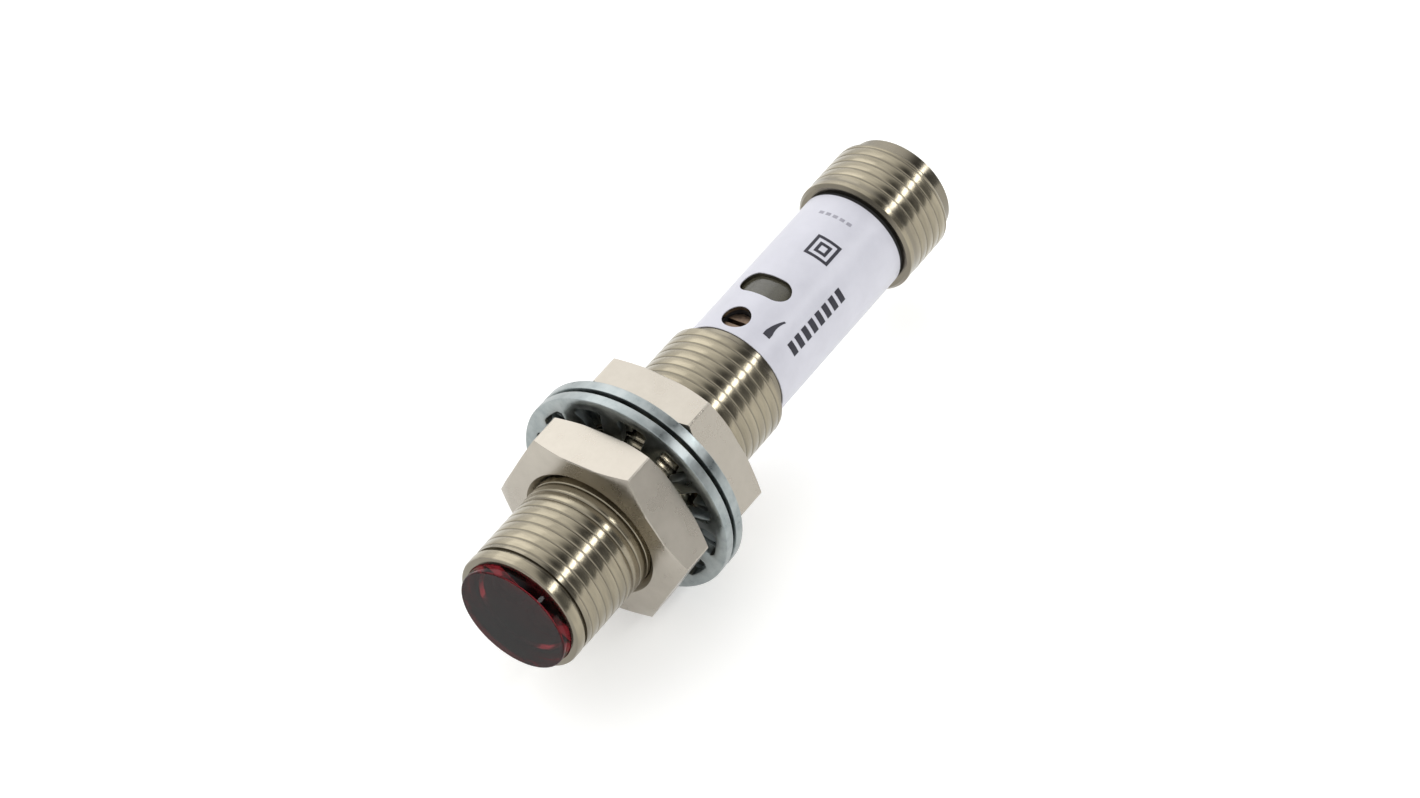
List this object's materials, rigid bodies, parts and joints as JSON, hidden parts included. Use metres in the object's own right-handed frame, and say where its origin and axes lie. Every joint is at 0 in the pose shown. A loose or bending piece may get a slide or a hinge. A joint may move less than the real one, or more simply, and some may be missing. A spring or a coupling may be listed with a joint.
{
  "type": "photoelectric sensor",
  "caption": "Threaded barrel photoelectric sensor with a red front window, clamping nuts, tooth washers, a sensitivity adjuster and a round plug connector.",
  "frame": {"origin": "centre of the front window's face, where the beam leaves", "axes": "+X out of the window along the beam, +Z the side of the adjuster and status window, the plug at -X"},
  "size_m": [0.06, 0.021, 0.021],
  "materials": {
    "nickel_brass": "nickel plated, satin",
    "nut_nickel": "nickel plated, bright",
    "zinc_steel": "blue zinc plated",
    "label_film": "satin printed film",
    "red_window": "polished, dark red tinted",
    "black_plastic": "moulded",
    "seal_rubber": "matt",
    "optic_acrylic": "clear",
    "red_epoxy": "clear red",
    "diode_epoxy": "smooth",
    "board_laminate": "solder mask",
    "component_epoxy": "moulded",
    "status_epoxy": "clear",
    "guide_acrylic": "smoked, translucent",
    "trimmer_plastic": "moulded",
    "rotor_ceramic": "moulded",
    "spindle_brass": "turned",
    "contact_gold": "gold plated",
    "lead_copper": "bare copper",
    "potting_resin": "cast"
  },
  "bodies": {
    "root": {"housing_tube": "nickel_brass", "lens_cap": "red_window", "lens_o_ring": "seal_rubber", "optics_carrier": "black_plastic", "emitter_lens": "optic_acrylic", "receiver_lens": "optic_acrylic", "emitter_led": "red_epoxy", "photodiode": "diode_epoxy", "front_board": "board_laminate", "board_link_pins": "contact_gold", "main_board": "board_laminate", "board_components": "component_epoxy", "status_leds": "status_epoxy", "light_guide": "guide_acrylic", "trimmer_body": "trimmer_plastic", "adjuster_bush": "black_plastic", "label_sleeve": "label_film", "connector_gasket": "seal_rubber", "connector_shell": "nickel_brass", "connector_insert": "black_plastic", "contact_pins": "contact_gold", "connector_leads": "lead_copper", "potting_plug": "potting_resin"},
    "adjuster": {"adjuster_spindle": "spindle_brass", "adjuster_o_ring": "seal_rubber", "trimmer_rotor": "rotor_ceramic"},
    "front_washer": {"front_washer": "zinc_steel"},
    "front_nut": {"front_nut": "nut_nickel"},
    "rear_washer": {"rear_washer": "zinc_steel"},
    "rear_nut": {"rear_nut": "nut_nickel"}
  },
  "joints": [
    {"name": "adjuster_turn", "type": "hinge", "parent": "root", "child": "adjuster", "pos_m": [-0.0348, 0, 0.0033], "axis": [0, 0, 1], "range_deg": [-135, 135]},
    {"name": "front_washer_slide", "type": "slide", "parent": "root", "child": "front_washer", "axis": [1, 0, 0], "range_m": [0, 0.009]},
    {"name": "front_nut_turn", "type": "hinge", "parent": "front_washer", "child": "front_nut", "pos_m": [-0.0133, 0, 0], "axis": [1, 0, 0], "range_deg": [0, 3240]},
    {"name": "rear_washer_slide", "type": "slide", "parent": "root", "child": "rear_washer", "axis": [1, 0, 0], "range_m": [-0.007, 0]},
    {"name": "rear_nut_turn", "type": "hinge", "parent": "rear_washer", "child": "rear_nut", "pos_m": [-0.0214, 0, 0], "axis": [1, 0, 0], "range_deg": [-2520, 0]}
  ],
  "couplings": [
    {"joint": "front_washer_slide", "follows": "front_nut_turn", "m_per_rad": 0.00015915},
    {"joint": "rear_washer_slide", "follows": "rear_nut_turn", "m_per_rad": 0.00015915}
  ]
}
